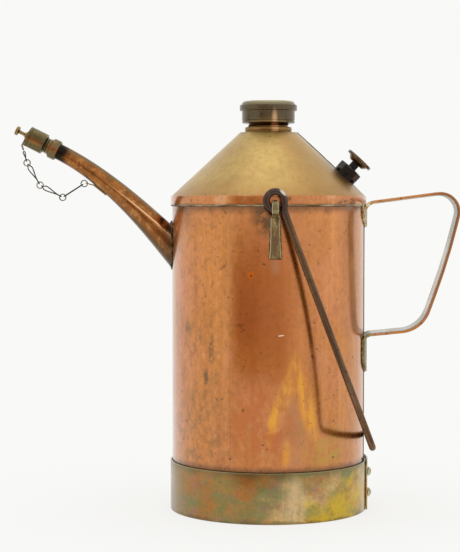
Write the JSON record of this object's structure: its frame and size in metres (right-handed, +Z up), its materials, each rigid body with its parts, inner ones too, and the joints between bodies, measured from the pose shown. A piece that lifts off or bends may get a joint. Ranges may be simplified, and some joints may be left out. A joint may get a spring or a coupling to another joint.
{
  "type": "oil can",
  "caption": "Tall round oil can with a cone top, a screw filler cap, a curved spout with a chained screw cap, a vent screw, a strap handle and a swinging wire bail.",
  "frame": {"origin": "middle of the base plate's underside, on the can's axis", "axes": "+Z up along the can's axis; +X towards the strap handle, with the spout at -X; +Y completes the right-handed frame, along the bail's pivot line"},
  "size_m": [0.3331, 0.1624, 0.3048],
  "materials": {
    "worn_copper": "worn copper with a satin shine",
    "satin_brass": "satin brass",
    "tarnished_brass": "brass with brown and green tarnish",
    "dark_bronze": "dark brown bronze",
    "tinned_brass": "brass with traces of tin solder",
    "brown_iron": "iron wire with a brown skin",
    "bright_wire": "plain nickel-grey wire",
    "brown_leather": "oiled leather"
  },
  "bodies": {
    "can": {"body_shell": "worn_copper", "base_plate": "worn_copper", "foot_band": "tarnished_brass", "foot_rivet_upper": "tinned_brass", "foot_rivet_lower": "tinned_brass", "rim_band": "worn_copper", "shoulder_cone": "satin_brass", "filler_neck": "satin_brass", "spout": "worn_copper", "spout_tip": "tarnished_brass", "handle_strap": "worn_copper", "ear_front": "tinned_brass", "ear_back": "tinned_brass", "vent_boss": "dark_bronze", "chain_tab": "tarnished_brass"},
    "filler_lift": {"filler_gasket": "brown_leather"},
    "filler_cap": {"filler_cap": "dark_bronze"},
    "spout_lift": {"spout_cap_seal": "brown_leather", "chain_swivel": "dark_bronze"},
    "spout_cap": {"spout_cap": "tarnished_brass", "spout_cap_stud": "satin_brass"},
    "vent_lift": {"vent_washer": "brown_leather"},
    "vent_screw": {"vent_screw": "dark_bronze"},
    "bail": {"bail": "brown_iron"},
    "chain_4": {"chain_ring_4": "bright_wire", "chain_link_4": "bright_wire"},
    "chain_3": {"chain_ring_3": "bright_wire", "chain_link_3": "bright_wire"},
    "chain_2": {"chain_ring_2": "bright_wire", "chain_link_2": "bright_wire"},
    "chain_1": {"chain_ring_1": "bright_wire", "chain_link_1": "bright_wire"}
  },
  "joints": [
    {"name": "filler_cap_lift", "type": "slide", "parent": "can", "child": "filler_lift", "axis": [0, 0, 1], "range_m": [0, 0.014]},
    {"name": "filler_cap_turn", "type": "hinge", "parent": "filler_lift", "child": "filler_cap", "pos_m": [0, 0, 0.29], "axis": [0, 0, 1], "range_deg": [0, 2520]},
    {"name": "spout_cap_lift", "type": "slide", "parent": "can", "child": "spout_lift", "axis": [-0.8934, 0, 0.4493], "range_m": [0, 0.012]},
    {"name": "spout_cap_turn", "type": "hinge", "parent": "spout_lift", "child": "spout_cap", "pos_m": [-0.1577, 0, 0.2677], "axis": [-0.8934, 0, 0.4493], "range_deg": [0, 3456]},
    {"name": "vent_lift", "type": "slide", "parent": "can", "child": "vent_lift", "axis": [0.6814, 0, 0.7319], "range_m": [0, 0.004]},
    {"name": "vent_turn", "type": "hinge", "parent": "vent_lift", "child": "vent_screw", "pos_m": [0.05646, 0, 0.24877], "axis": [0.6814, 0, 0.7319], "range_deg": [0, 1440]},
    {"name": "bail_swing", "type": "hinge", "parent": "can", "child": "bail", "pos_m": [0.0058, 0, 0.2306], "axis": [0, -1, 0], "range_deg": [0, 230.6]},
    {"name": "chain_4_swing", "type": "hinge", "parent": "can", "child": "chain_4", "pos_m": [-0.13832, 0, 0.24362], "axis": [0, -1, 0], "range_deg": [0, 70]},
    {"name": "chain_3_swing", "type": "hinge", "parent": "chain_4", "child": "chain_3", "pos_m": [-0.15462, 0, 0.23322], "axis": [0, -1, 0], "range_deg": [0, 70]},
    {"name": "chain_2_swing", "type": "hinge", "parent": "chain_3", "child": "chain_2", "pos_m": [-0.17166, 0, 0.24241], "axis": [0, -1, 0], "range_deg": [0, 45]},
    {"name": "chain_1_swing", "type": "hinge", "parent": "chain_2", "child": "chain_1", "pos_m": [-0.18143, 0, 0.25917], "axis": [0, -1, 0], "range_deg": [0, 35]}
  ],
  "couplings": [
    {"joint": "filler_cap_lift", "follows": "filler_cap_turn", "m_per_rad": 0.00031831},
    {"joint": "spout_cap_lift", "follows": "spout_cap_turn", "m_per_rad": 0.00019894},
    {"joint": "vent_lift", "follows": "vent_turn", "m_per_rad": 0.00015915}
  ]
}
